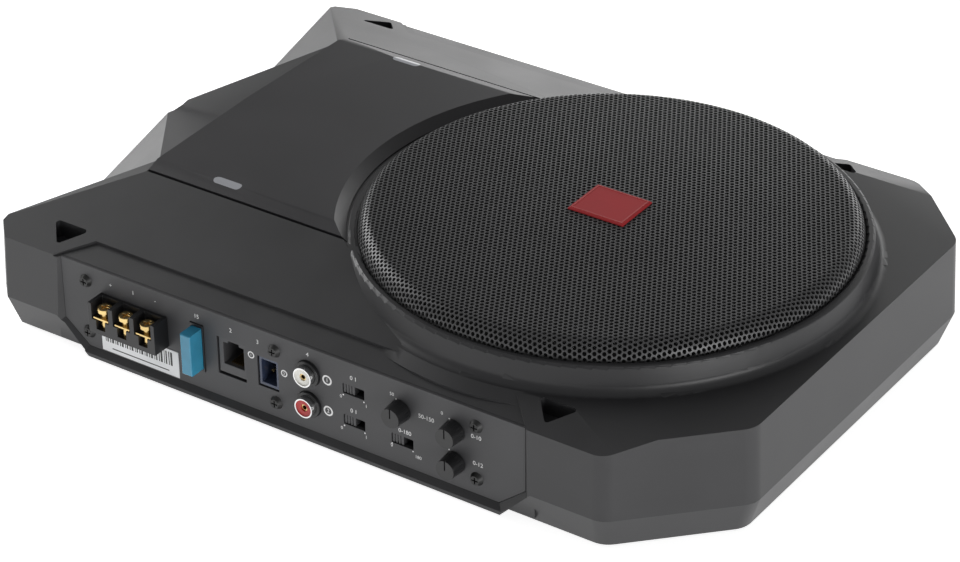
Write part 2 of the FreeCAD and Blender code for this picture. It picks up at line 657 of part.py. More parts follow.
def fuse_body():
    half_t = FUSE_THICK / 2
    half_h = FUSE_HEIGHT / 2
    body = box(FUSE_X - half_t, FUSE_X + half_t, FUSE_FRONT_Y, FUSE_SEAT_Y, FUSE_Z - half_h, FUSE_Z + half_h)
    front = [e for e in body.Edges if max(v.Point.y for v in e.Vertexes) < FUSE_FRONT_Y + 0.1]
    return body.makeFillet(0.5, front)


def fuse_blades():
    half_t = FUSE_BLADE_T / 2
    half_w = FUSE_BLADE_W / 2
    return [box(FUSE_X - half_t, FUSE_X + half_t, FUSE_SEAT_Y, FUSE_SEAT_Y + 9, z - half_w, z + half_w)
            for z in (FUSE_Z - FUSE_BLADE_Z, FUSE_Z + FUSE_BLADE_Z)]


def remote_jack_body():
    shell = box(-53.6, -40.0, PANEL_Y + 0.3, -106, 17.6, 34.0)
    mouth = box(JACK_X - 5.2, JACK_X + 5.2, PANEL_Y, JACK_BACK_Y, JACK_FLOOR_Z, JACK_FLOOR_Z + 10.1)
    clip_slot = box(JACK_X - 2.7, JACK_X + 2.7, PANEL_Y, JACK_BACK_Y, JACK_FLOOR_Z + 10.1, JACK_FLOOR_Z + 11.3)
    return shell.cut([mouth, clip_slot])


def remote_jack_contacts():
    middles = [JACK_X + (i - 2.5) * JACK_PITCH for i in range(6)]
    return [box(x - 0.2, x + 0.2, JACK_BACK_Y - 10, JACK_BACK_Y, JACK_FLOOR_Z, JACK_FLOOR_Z + 0.6) for x in middles]


def highlevel_socket_body():
    shell = box(-33.4, -23.6, PANEL_Y + 0.4, -107, 18.6, 31.9)
    return shell.cut(box(-32.2, -24.9, PANEL_Y, SOCKET_BACK_Y, 19.9, 30.7))


def highlevel_pins():
    return [rod(0.6, (x, SOCKET_BACK_Y - 4, z), (x, SOCKET_BACK_Y, z)) for x in SOCKET_PINS_X for z in SOCKET_PINS_Z]


def rca_block():
    block = box(-15.5, -1.5, PANEL_BACK_Y, -109, 11.5, 39.2)
    collars = [rod(RCA_WINDOW_R - FIT, (RCA_X, PANEL_Y - 1.4, z), (RCA_X, PANEL_BACK_Y, z)) for z in RCA_Z]
    bores = [rod(RCA_SHELL_R, (RCA_X, PANEL_Y - 2, z), (RCA_X, RCA_BACK_Y, z)) for z in RCA_Z]
    return union([block] + collars).cut(bores)


def rca_shells():
    return [tube(RCA_SHELL_R, RCA_INSERT_R, (RCA_X, RCA_FRONT_Y, z), (RCA_X, RCA_BACK_Y, z)) for z in RCA_Z]


def rca_insert(z):
    return tube(RCA_INSERT_R, RCA_CONTACT_R, (RCA_X, RCA_FRONT_Y + 0.5, z), (RCA_X, RCA_BACK_Y, z))


def rca_contacts():
    return [tube(RCA_CONTACT_R, 1.0, (RCA_X, RCA_FRONT_Y + 1.0, z), (RCA_X, RCA_BACK_Y, z)) for z in RCA_Z]


def switch_frames():
    frames = []
    for _, x, z in SWITCHES:
        shell = box(x - 7.2, x + 7.2, PANEL_BACK_Y, -113, z - 4, z + 4)
        frames.append(shell.cut(box(x - 5.4, x + 5.4, PANEL_BACK_Y, -117.4, z - 2.5, z + 2.5)))
    return frames


def switch_slider(x, z):
    left = x - SWITCH_W / 2 + 0.2
    grip = box(left, left + SLIDER_W, -122.4, -117.8, z - 2.05, z + 2.05)
    grooves = [box(left + e, left + e + 0.5, -123, -122.0, z - 3, z + 3) for e in (1.1, 2.45, 3.8)]
    return grip.cut(grooves)


def potentiometer_bodies():
    bodies = []
    for _, x, z in KNOBS:
        shell = box(x - 5.5, x + 5.5, -118.3, -109, z - 5.5, z + 5.5)
        neck = rod(3.0, (x, PANEL_BACK_Y, z), (x, -118.3, z))
        bodies.append(shell.fuse(neck).cut(rod(1.55, (x, PANEL_BACK_Y, z), (x, -110.5, z))))
    return bodies


def potentiometer_shaft(x, z):
    return rod(1.5, (x, -128.2, z), (x, -111, z))


def knob(x, z):
    """Tapered knob with finger grooves and a pointer notch, pressed on the shaft."""
    back_y = PANEL_Y - 0.3
    front_y = back_y - KNOB_LENGTH
    body = Part.makeCone(KNOB_BASE_R, KNOB_TIP_R, KNOB_LENGTH, V(x, back_y, z), V(0, -1, 0))
    cuts = [rod(1.5, (x, back_y, z), (x, -128.2, z))]
    for i in range(18):
        a = math.radians(20 * i)
        gx = x + KNOB_BASE_R * math.cos(a)
        gz = z + KNOB_BASE_R * math.sin(a)
        cuts.append(rod(0.35, (gx, back_y - 1.2, gz), (gx, front_y - 1, gz)))
    cuts.append(box(x - 0.3, x + 0.3, front_y - 1, front_y + 0.6, z, z + KNOB_BASE_R))
    return body.cut(cuts)


# ================================================================ woofer
def speaker_basket():
    outline = [(30, 24), (52, 24), (70.5, 30.2), (86.5, 40.2), (87.5, 47.5), (101.8, 47.5), (101.8, 49.5),
               (85.5, 49.5), (84.5, 41.5), (68.5, 32), (57, 32), (57, 26), (30, 26)]
    frame = turned(outline)
    window = box(RING_X + 64, RING_X + 92, -17, 17, 34, 44.5)
    windows = []
    for i in range(6):
        turned_window = window.copy()
        turned_window.rotate(V(RING_X, 0, 0), Z_AXIS, 30 + 60 * i)
        windows.append(turned_window)
    holes = [rod(1.5, (x, y, 46), (x, y, 51)) for x, y in speaker_screw_places()]
    return frame.cut(windows + holes)


def speaker_screws():
    return [rod(2.4, (x, y, 49.5), (x, y, 51.2)).fuse(rod(1.5, (x, y, SHELF_Z - SHELF_T), (x, y, 49.5)))
            for x, y in speaker_screw_places()]


def speaker_terminals(basket):
    tag = box(-39, -27, -9, 9, 37, 38.6)
    lugs = [box(-46, -39, y - 2.4, y + 2.4, 37.4, 38.2) for y in (-5, 5)]
    return union([tag] + lugs).cut(basket)


def spider():
    """Corrugated suspension disc, from the voice coil out to the basket's landing."""
    inner_r = 26.2
    outer_r = 57.5
    upper = []
    for i in range(33):
        t = i / 32
        wave = 0.9 * math.sin(2 * math.pi * 5 * t) * math.sin(math.pi * t)
        upper.append((inner_r + t * (outer_r - inner_r), 34.5 - 1.6 * t + wave))
    upper.append((66.5, 32.9))
    lower = [(r, z - 0.6) for r, z in reversed(upper)]
    return turned(upper + lower)


def surround():
    """Half-round rubber roll between the cone's edge and the basket's flange."""
    middle_r = 86.5
    base_z = 49.6
    roll = []
    for i in range(17):
        a = math.pi - math.pi * i / 16
        roll.append((middle_r + 4.8 * math.cos(a), base_z + 4.8 * math.sin(a)))
    inner_roll = [(middle_r + (r - middle_r) * 4.0 / 4.8, base_z + (z - base_z) * 4.0 / 4.8)
                  for r, z in reversed(roll)]
    outline = [(78.5, 49.2)] + roll + [(96.7, 50.3), (96.7, 49.5)] + inner_roll + [(81.5, 48.3), (78.5, 48.3)]
    return turned(outline)


def dust_cap():
    radius = 31.5
    height = 6.0
    sphere_r = (radius ** 2 + height ** 2) / (2 * height)
    upper = []
    for i in range(13):
        r = radius * i / 12
        upper.append((r, 39.9 + height - sphere_r + math.sqrt(sphere_r ** 2 - r ** 2)))
    lower = [(r, z - 0.8) for r, z in reversed(upper)]
    return turned(upper + lower)


def cone():
    """Shallow straight-sided cone from the voice coil's neck to the surround."""
    return turned([(COIL_R, 36.6), (COIL_R, 38.0), (79.5, 48.2), (81.2, 48.2), (81.2, 47.3), (79.8, 46.9)])


def voice_coil():
    """Former with its wire wound on the lower part."""
    inner_r = COIL_R - COIL_FORMER
    wire_r = COIL_R + COIL_WIRE
    return turned([(inner_r, 15), (wire_r, 15), (wire_r, 27), (COIL_R, 27), (COIL_R, 37.5), (inner_r, 37.5)])


def speaker_magnet():
    return turned([(30, 9), (50, 9), (50, 20), (30, 20)])


def speaker_top_plate():
    return turned([(27.5, 20), (48, 20), (48, 24), (27.5, 24)])


def speaker_pole_plate():
    return turned([(0, 5), (48, 5), (48, 9), (24.6, 9), (24.6, 24), (0, 24)])


def speaker_gasket():
    return turned([(91.7, 50.3), (96.7, 50.3), (96.7, 52.8), (91.7, 52.8)])


# ================================================================ amplifier
def amp_board():
    outline = [(-162, -110), (88, -110), (88, -78), (-6, -78), (-6, 108), (-162, 108)]
    board = prism_z(outline, BOARD_Z, BOARD_Z + BOARD_T)
    cuts = [rod(BOSS_R + 0.8, (x, y, 0), (x, y, 30)) for x, y in HOUSING_SCREWS]
    cuts += [rod(1.3, (x, y, 0), (x, y, 30)) for x, y in STANDOFFS]
    return board.cut(cuts)


def board_screws():
    top = BOARD_Z + BOARD_T
    return [rod(1.3, (x, y, top - 5.6), (x, y, top)).fuse(rod(2.6, (x, y, top), (x, y, top + 1.6)))
            for x, y in STANDOFFS]


def heatsink_bar():
    bar = box(-124, -44, 97, 110, BOARD_Z + BOARD_T, 40)
    grooves = [box(-120 + 6 * i, -117 + 6 * i, 102, 111, 16, 41) for i in range(13)]
    return bar.cut(grooves)


def transistors():
    low = BOARD_Z + BOARD_T
    packages = []
    for x in (-114, -94, -74, -54):
        legs = [box(x + e - 0.6, x + e + 0.6, 94, 95, low, 15) for e in (-5, 0, 5)]
        packages.append(union([box(x - 7.5, x + 7.5, 92, 97, 15, 35)] + legs))
    return packages


def capacitors():
    low = BOARD_Z + BOARD_T
    return [rod(11.0, (-50, y, low), (-50, y, 42)) for y in (-50, -25, 30)]


def toroid_ring(outer_r, inner_r, z0, z1):
    return tube(outer_r, inner_r, (TOROID_X, TOROID_Y, z0), (TOROID_X, TOROID_Y, z1))


def toroid_core():
    return toroid_ring(27, 16, 14, 34)


def toroid_winding():
    gaps = box(TOROID_X - 8, TOROID_X + 8, TOROID_Y - 35, TOROID_Y + 35, 0, 60)
    winding = toroid_ring(31, 12, BOARD_Z + BOARD_T, 37.4).cut([toroid_core(), gaps])
    return winding.Solids


# ================================================================ all parts
def main():
    os.makedirs("parts", exist_ok=True)
    basket = speaker_basket()
    save("top_housing", top_housing())
    save("base_tray", base_tray())
    save("housing_screws", housing_screws())
    save("rubber_feet", rubber_feet())
    save("heatsink_cover", heatsink_cover())
    save("led_windows", led_windows())
    save("grille_mesh", grille_mesh())
    save("grille_badge", grille_badge())
    save("control_panel", control_panel())
    save("panel_screws", panel_screws())
    save("rating_label", rating_label())
    save("terminal_block", terminal_block())
    for number, x in enumerate(TERMINAL_X, 1):
        save("clamp_plate_%d" % number, clamp_plate(x))
        save("terminal_screw_%d" % number, terminal_screw(x))
    save("fuse_holder", fuse_holder())
    save("fuse_body", fuse_body())
    save("fuse_blades", fuse_blades())
    save("remote_jack_body", remote_jack_body())
    save("remote_jack_contacts", remote_jack_contacts())
    save("highlevel_socket_body", highlevel_socket_body())
    save("highlevel_pins", highlevel_pins())
    save("rca_block", rca_block())
    save("rca_shells", rca_shells())
    save("rca_insert_white", rca_insert(RCA_Z[0]))
    save("rca_insert_red", rca_insert(RCA_Z[1]))
    save("rca_contacts", rca_contacts())
    save("switch_frames", switch_frames())
    for name, x, z in SWITCHES:
        save("switch_slider_" + name, switch_slider(x, z))
    save("potentiometer_bodies", potentiometer_bodies())
    for name, x, z in KNOBS:
        save("shaft_" + name, potentiometer_shaft(x, z))
        save("knob_" + name, knob(x, z))
    save("speaker_basket", basket)
    save("speaker_screws", speaker_screws())
    save("speaker_terminals", speaker_terminals(basket))
    save("speaker_gasket", speaker_gasket())
    save("spider", spider())
    save("surround", surround())
    save("cone", cone())
    save("dust_cap", dust_cap())
    save("voice_coil", voice_coil())
    save("speaker_magnet", speaker_magnet())
    save("speaker_top_plate", speaker_top_plate())
    save("speaker_pole_plate", speaker_pole_plate())
    save("amp_board", amp_board())
    save("board_screws", board_screws())
    save("heatsink_bar", heatsink_bar())
    save("transistors", transistors())
    save("capacitors", capacitors())
    save("toroid_core", toroid_core())
    save("toroid_winding", toroid_winding())


main()
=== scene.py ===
import json
import math

import bmesh
import bpy
from mathutils import Matrix, Vector


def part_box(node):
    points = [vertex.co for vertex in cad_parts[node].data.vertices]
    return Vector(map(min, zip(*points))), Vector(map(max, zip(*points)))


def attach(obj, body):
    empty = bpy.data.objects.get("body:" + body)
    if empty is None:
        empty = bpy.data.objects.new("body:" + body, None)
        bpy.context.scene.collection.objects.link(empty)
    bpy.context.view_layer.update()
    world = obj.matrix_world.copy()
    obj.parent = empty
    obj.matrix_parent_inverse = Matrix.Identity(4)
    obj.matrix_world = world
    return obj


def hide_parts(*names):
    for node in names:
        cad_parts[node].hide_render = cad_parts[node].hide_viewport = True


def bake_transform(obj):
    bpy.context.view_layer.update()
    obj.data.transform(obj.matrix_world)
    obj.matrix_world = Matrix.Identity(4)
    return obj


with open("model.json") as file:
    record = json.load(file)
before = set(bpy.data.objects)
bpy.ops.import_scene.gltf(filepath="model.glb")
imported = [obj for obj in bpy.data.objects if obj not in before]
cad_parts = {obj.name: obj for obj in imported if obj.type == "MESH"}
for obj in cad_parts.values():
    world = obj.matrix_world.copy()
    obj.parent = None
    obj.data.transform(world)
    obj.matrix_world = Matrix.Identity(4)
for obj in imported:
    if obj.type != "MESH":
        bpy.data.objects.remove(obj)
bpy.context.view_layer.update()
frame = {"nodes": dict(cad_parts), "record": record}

NODES = frame["nodes"]
MM = 0.001

# ---------------------------------------------------------------- places taken from the frame
HOUSING_LOW, HOUSING_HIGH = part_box("top_housing")
MID_Y = (HOUSING_LOW.y + HOUSING_HIGH.y) / 2
PANEL_FACE_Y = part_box("control_panel")[0].y
MESH_LOW, MESH_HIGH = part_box("grille_mesh")
RING_X = (MESH_LOW.x + MESH_HIGH.x) / 2

# ---------------------------------------------------------------- camera
CAMERA_AZIMUTH = 34.7
CAMERA_ELEVATION = 31.59
CAMERA_ROLL = -0.73
CAMERA_LENS = 128.35
CAMERA_PLACE = Vector((0.6927, -1.0154 + MID_Y, 0.7710))

# ---------------------------------------------------------------- studio
FLOOR_REACH = 6.0
FLOOR_GLOW = 0.82
WORLD_STRENGTH = 0.27
LIGHT_TARGET = (0, 0, 0.03)

# ---------------------------------------------------------------- surfaces
CLOUD_SCALE = 35.0           # slow variation of colour and roughness over a surface
CLOUD_DETAIL = 4.0
GRAIN_DETAIL = 2.0
GRAIN_DEPTH = 0.2 * MM
WIRE_SCALE = 300.0
WIRE_RELIEF = 0.8
WIRE_DEPTH = 0.4 * MM

# ---------------------------------------------------------------- grille
HOLE_PITCH = 2.25 * MM
HOLE_RADIUS = 0.86 * MM
HOLE_SIDES = 12              # every second one is a corner of the hole's hexagonal cell
CORNER_GRID = 500            # steps in a millimetre; cell corners on the same step are one point
GRILLE_SKIN = 0.9 * MM
SHOULDER_R = 96.5 * MM
SHOULDER_Z = 59.5 * MM
SHOULDER_WIDE = 6.7 * MM
SHOULDER_TALL = 8.5 * MM
SHOULDER_LENGTH = math.pi / 2 * (SHOULDER_WIDE + SHOULDER_TALL) / 2
SKIRT_LENGTH = 5.0 * MM

# ---------------------------------------------------------------- badge
BORDER_INSET = 1.0 * MM
BORDER_WIDTH = 0.6 * MM
BORDER_SINK = 0.02 * MM
BORDER_RISE = 0.12 * MM

# ---------------------------------------------------------------- suspension
SUSPENSION_WEDGES = 12

# ---------------------------------------------------------------- printed marks
INK_THICKNESS = 0.04 * MM
SIGN_LIFT = 0.04 * MM
PRINT_LIFT = 0.03 * MM
CENTRE_LIFT = 0.05 * MM
ROUNDEL_SIGN_LIFT = 0.07 * MM
SIGN_HEIGHT = 1.9
SCALE_HEIGHT = 1.5
TEXT_SCALE = 1.4             # size of the built-in font over the height of its capitals
DISC_SIDES = 28
ROUNDEL_CENTRE = 0.68        # dark centre and sign of a roundel, as shares of its radius
ROUNDEL_SIGN = 0.8

# ---------------------------------------------------------------- print on the white label
BAR_WIDTHS = (0.35, 0.7, 0.5, 1.0)
BAR_GAPS = (0.5, 0.8)
BAR_HEIGHT = 6.4 * MM
BARS_RISE = 1.8 * MM         # middle of the bars above the middle of the label
LEFT_MARGIN = 2.0 * MM
RIGHT_MARGIN = 2.5 * MM
LINE_RISE = 2.0 * MM         # line under the bars, above the label's lower edge
LINE_LENGTH = 30.0 * MM
LINE_WIDTH = 0.5 * MM

# ---------------------------------------------------------------- tables of marks, in mm
# Each mark: what it says, the piece it belongs to, and how far it is to the right of that
# piece's middle and above it.
SIGNS = [("+", "terminal_screw_1", -0.8, 12.75), ("1", "terminal_screw_2", 0.0, 13.15),
         ("-", "terminal_screw_3", 0.4, 13.25), ("15", "fuse_body", 0.15, 14.45),
         ("2", "remote_jack_body", -0.1, 13.2), ("3", "highlevel_socket_body", -4.9, 13.05),
         ("4", "rca_shells", 0.0, 15.95), ("0 1", "switch_slider_1", 2.55, 6.0),
         ("0 1", "switch_slider_2", 2.25, 5.2), ("0-180", "switch_slider_3", 3.65, 4.8),
         ("50-150", "shaft_crossover", 12.2, 0.7), ("0-10", "shaft_level", 10.0, 0.4),
         ("0-12", "shaft_boost", 10.7, 2.8)]
SCALES = [("50", "shaft_crossover", -4.0, 6.1), ("0", "shaft_level", -5.9, 5.8),
          ("0", "switch_slider_1", -3.85, -4.3), ("1", "switch_slider_1", 8.45, -4.8),
          ("0", "switch_slider_2", -3.95, -4.7), ("1", "switch_slider_2", 7.95, -5.0),
          ("0", "switch_slider_3", -2.85, -3.7), ("180", "switch_slider_3", 9.85, -4.9)]

# Each dot or roundel: its piece, how far right of that piece's middle and above it, and its radius.
DOTS = [("shaft_crossover", -2.0, 4.4, 0.35), ("shaft_level", -2.5, 4.5, 0.35),
        ("shaft_level", -7.8, -4.4, 0.35), ("shaft_boost", -2.8, 4.7, 0.35),
        ("shaft_boost", -8.0, -4.5, 0.35),
        ("switch_slider_1", -2.65, -3.2, 0.35), ("switch_slider_1", 7.35, -3.2, 0.35),
        ("switch_slider_2", -2.65, -3.2, 0.35), ("switch_slider_2", 7.35, -3.2, 0.35),
        ("switch_slider_3", -2.65, -2.6, 0.3), ("switch_slider_3", 7.35, -3.0, 0.3)]
ROUNDELS = [("rca_shells", 9.3, 7.25, 2.3), ("rca_shells", 9.3, -7.25, 2.3),
            ("highlevel_socket_body", -8.5, 5.75, 1.6), ("highlevel_socket_body", 7.9, 2.75, 1.6)]

# ---------------------------------------------------------------- rounded edges
SAME_POINT = 0.002 * MM      # points of a CAD surface nearer than this are one
FLAT_ANGLE = 0.4             # degrees: faces that differ by less are joined
SHARP_ANGLE = 20.0           # degrees: edges that turn more than this are rounded
LARGE_FACE_WEIGHT = 80       # shading follows the large faces; 50 would be neutral

# Width of the rounding on each visible hard piece, in mm.
EDGES = {"top_housing": 0.7, "base_tray": 0.6, "heatsink_cover": 0.5, "control_panel": 0.2,
         "terminal_block": 0.25, "fuse_holder": 0.25, "remote_jack_body": 0.25,
         "highlevel_socket_body": 0.2, "rca_block": 0.3}
for number in (1, 2, 3):
    EDGES["terminal_screw_%d" % number] = 0.25
    EDGES["clamp_plate_%d" % number] = 0.15
    EDGES["switch_slider_%d" % number] = 0.15
for control in ("crossover", "level", "boost"):
    EDGES["knob_" + control] = 0.25


# ================================================================ materials
def node_material(name, color, roughness, metallic=0.0, grain=None, bump=0.1, mottle=0.12,
                  spread=0.06, coat=0.0, transmission=0.0):
    """Principled material whose colour, roughness and surface grain vary procedurally."""
    material = bpy.data.materials.new(name)
    material.use_nodes = True
    tree = material.node_tree
    shader = tree.nodes["Principled BSDF"]
    shader.inputs["Metallic"].default_value = metallic
    shader.inputs["IOR"].default_value = 1.5
    shader.inputs["Coat Weight"].default_value = coat
    shader.inputs["Transmission Weight"].default_value = transmission
    coords = tree.nodes.new("ShaderNodeTexCoord")
    cloud = tree.nodes.new("ShaderNodeTexNoise")
    cloud.inputs["Scale"].default_value = CLOUD_SCALE
    cloud.inputs["Detail"].default_value = CLOUD_DETAIL
    tree.links.new(coords.outputs["Object"], cloud.inputs["Vector"])
    ramp = tree.nodes.new("ShaderNodeValToRGB")
    ramp.color_ramp.elements[0].position = 0.3
    ramp.color_ramp.elements[1].position = 0.7
    ramp.color_ramp.elements[0].color = [c * (1 - mottle) for c in color] + [1.0]
    ramp.color_ramp.elements[1].color = [min(1.0, c * (1 + mottle)) for c in color] + [1.0]
    tree.links.new(cloud.outputs["Fac"], ramp.inputs["Fac"])
    tree.links.new(ramp.outputs["Color"], shader.inputs["Base Color"])
    level = tree.nodes.new("ShaderNodeMapRange")
    level.inputs["To Min"].default_value = max(0.02, roughness - spread)
    level.inputs["To Max"].default_value = min(1.0, roughness + spread)
    tree.links.new(cloud.outputs["Fac"], level.inputs["Value"])
    tree.links.new(level.outputs["Result"], shader.inputs["Roughness"])
    if grain:
        noise = tree.nodes.new("ShaderNodeTexNoise")
        noise.inputs["Scale"].default_value = 1.0 / grain
        noise.inputs["Detail"].default_value = GRAIN_DETAIL
        add_bump(tree, coords, noise, bump, GRAIN_DEPTH)
    return material


def add_bump(tree, coords, pattern, strength, depth):
    """Surface relief from a texture node: moulded or cast grain, or wound wire."""
    height = tree.nodes.new("ShaderNodeBump")
    height.inputs["Strength"].default_value = strength
    height.inputs["Distance"].default_value = depth
    tree.links.new(coords.outputs["Object"], pattern.inputs["Vector"])
    tree.links.new(pattern.outputs["Fac"], height.inputs["Height"])
    tree.links.new(height.outputs["Normal"], tree.nodes["Principled BSDF"].inputs["Normal"])


def winding_material():
    """Enamelled copper wire: fine bands round the core."""
    material = node_material("copper_wire", (0.62, 0.27, 0.10), 0.3, metallic=0.8)
    tree = material.node_tree
    wave = tree.nodes.new("ShaderNodeTexWave")
    wave.inputs["Scale"].default_value = WIRE_SCALE
    coords = next(node for node in tree.nodes if node.type == "TEX_COORD")
    add_bump(tree, coords, wave, WIRE_RELIEF, WIRE_DEPTH)
    return material


def floor_material():
    """Pale studio floor that glows a little, so that it stays white all round the object."""
    material = node_material("floor", (0.92, 0.92, 0.92), 0.7, mottle=0.01)
    shader = material.node_tree.nodes["Principled BSDF"]
    shader.inputs["Emission Color"].default_value = (1.0, 1.0, 1.0, 1.0)
    shader.inputs["Emission Strength"].default_value = FLOOR_GLOW
    return material


MATERIALS = {
    "housing_plastic": node_material("housing_plastic", (0.028, 0.028, 0.030), 0.43, grain=0.6 * MM),
    "cover_plastic": node_material("cover_plastic", (0.026, 0.025, 0.028), 0.42, grain=0.5 * MM, bump=0.05),
    "lens": node_material("lens", (0.42, 0.43, 0.46), 0.3, grain=0.8 * MM, bump=0.1, coat=0.4),
    "rubber": node_material("rubber", (0.018, 0.018, 0.018), 0.75, grain=0.6 * MM, bump=0.3),
    "mesh_metal": node_material("mesh_metal", (0.085, 0.085, 0.087), 0.38, metallic=0.25, mottle=0.05),
    "badge_red": node_material("badge_red", (0.40, 0.010, 0.014), 0.62, grain=0.6 * MM, bump=0.05),
    "badge_edge": node_material("badge_edge", (0.46, 0.05, 0.05), 0.45),
    "panel_metal": node_material("panel_metal", (0.047, 0.047, 0.050), 0.5, grain=0.4 * MM, bump=0.12),
    "dark_screw": node_material("dark_screw", (0.055, 0.055, 0.055), 0.5, metallic=0.9, grain=0.5 * MM),
    "steel": node_material("steel", (0.55, 0.55, 0.56), 0.32, metallic=1.0, grain=0.6 * MM),
    "brass": node_material("brass", (0.75, 0.55, 0.24), 0.24, metallic=1.0, grain=0.6 * MM, bump=0.08),
    "black_plastic": node_material("black_plastic", (0.013, 0.013, 0.014), 0.35, grain=0.5 * MM, bump=0.08),
    "grey_plastic": node_material("grey_plastic", (0.055, 0.055, 0.058), 0.45, grain=0.5 * MM),
    "label_white": node_material("label_white", (0.78, 0.79, 0.80), 0.55, grain=0.3 * MM, bump=0.05),
    "fuse_blue": node_material("fuse_blue", (0.05, 0.36, 0.56), 0.12, transmission=0.4, mottle=0.35,
                               coat=0.3),
    "socket_blue": node_material("socket_blue", (0.045, 0.06, 0.11), 0.25, transmission=0.2, coat=0.2),
    "white_plastic": node_material("white_plastic", (0.78, 0.77, 0.72), 0.35, grain=0.5 * MM, bump=0.05),
    "red_plastic": node_material("red_plastic", (0.42, 0.02, 0.02), 0.3, grain=0.5 * MM, bump=0.05),
    "chrome": node_material("chrome", (0.80, 0.80, 0.80), 0.12, metallic=1.0, mottle=0.04, spread=0.03),
    "board_green": node_material("board_green", (0.02, 0.10, 0.045), 0.35, grain=1.0 * MM, bump=0.2),
    "aluminium": node_material("aluminium", (0.62, 0.62, 0.64), 0.35, metallic=1.0, grain=0.6 * MM,
                               bump=0.15),
    "ferrite": node_material("ferrite", (0.06, 0.06, 0.062), 0.5, metallic=0.5, grain=0.8 * MM, bump=0.3),
    "copper": winding_material(),
    "cone_black": node_material("cone_black", (0.020, 0.020, 0.021), 0.6, grain=1.2 * MM, bump=0.35),
    "cloth": node_material("cloth", (0.35, 0.22, 0.10), 0.8, grain=0.7 * MM, bump=0.6),
    "ink": node_material("ink", (0.80, 0.80, 0.80), 0.5, mottle=0.03),
    "floor": floor_material(),
}


def paint(piece, slot_name):
    piece.data.materials.clear()
    piece.data.materials.append(MATERIALS[slot_name])


# ================================================================ helpers
def body_of(node):
    for body, members in frame["record"]["behaviour"]["bodies"].items():
        if node in members:
            return body


def slot_of(node):
    for entry in frame["record"]["subparts"]:
        if entry["node"] == node:
            return entry["material_slot"]


def middle_of(node):
    low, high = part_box(node)
    return (low + high) / 2


def finished(mesh, name):
    """Turn an edit mesh into mesh data and free it."""
    data = bpy.data.meshes.new(name)
    mesh.to_mesh(data)
    mesh.free()
    return data


def add_piece(name, data, body, slot_name, *stands_for):
    """Put a finished mesh in the scene, on its body and with its material."""
    piece = bpy.data.objects.new(name, data)
    bpy.context.scene.collection.objects.link(piece)
    paint(piece, slot_name)
    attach(piece, body)
    if stands_for:
        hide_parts(*stands_for)
    return piece


# ================================================================ housing and other hard pieces
def clean_copy(node):
    """A copy of a CAD node's surface, with flat areas joined up again so that edges can be rounded."""
    mesh = bmesh.new()
    mesh.from_mesh(NODES[node].data)
    bmesh.ops.remove_doubles(mesh, verts=mesh.verts, dist=SAME_POINT)
    bmesh.ops.dissolve_limit(mesh, angle_limit=math.radians(FLAT_ANGLE), verts=mesh.verts,
                             edges=mesh.edges)
    bmesh.ops.recalc_face_normals(mesh, faces=mesh.faces)
    return finished(mesh, "soft_" + node)


def round_edges(piece, width, segments):
    bevel = piece.modifiers.new("round", "BEVEL")
    bevel.width = width
    bevel.segments = segments
    bevel.limit_method = "ANGLE"
    bevel.angle_limit = math.radians(SHARP_ANGLE)
    bevel.use_clamp_overlap = True
    bevel.harden_normals = False
    for face in piece.data.polygons:
        face.use_smooth = True
    normals = piece.modifiers.new("even", "WEIGHTED_NORMAL")
    normals.keep_sharp = True
    normals.weight = LARGE_FACE_WEIGHT


def softened(node, width, segments=2):
    """Stand-in for a CAD node: the same shape with small rounded edges."""
    slot_name = slot_of(node)
    piece = add_piece(node + "_shell", clean_copy(node), body_of(node), slot_name, node)
    round_edges(piece, width, segments)


def carried_over():
    """Every CAD node gets its material, and the visible hard ones get stand-ins with rounded edges."""
    for node, obj in NODES.items():
        paint(obj, slot_of(node))
    for node, width in EDGES.items():
        softened(node, width * MM, 3 if node == "top_housing" else 2)


# ================================================================ grille
def dome_point(x, y):
    """Place on the grille of a point of the flat sheet, measured along the surface from the crown.

    The crown itself lies in the middle hole, so no point of the sheet is there.
    """
    flat_r = math.hypot(x, y)
    if flat_r <= SHOULDER_R:
        r = flat_r
        crown = MESH_HIGH.z - SHOULDER_Z - SHOULDER_TALL
        z = SHOULDER_Z + SHOULDER_TALL + crown * (1 - (r / SHOULDER_R) ** 2)
    elif flat_r <= SHOULDER_R + SHOULDER_LENGTH:
        a = math.pi / 2 * (flat_r - SHOULDER_R) / SHOULDER_LENGTH
        r = SHOULDER_R + SHOULDER_WIDE * math.sin(a)
        z = SHOULDER_Z + SHOULDER_TALL * math.cos(a)
    else:
        r = SHOULDER_R + SHOULDER_WIDE
        z = SHOULDER_Z - (flat_r - SHOULDER_R - SHOULDER_LENGTH)
    return Vector((RING_X + r * x / flat_r, MID_Y + r * y / flat_r, z))


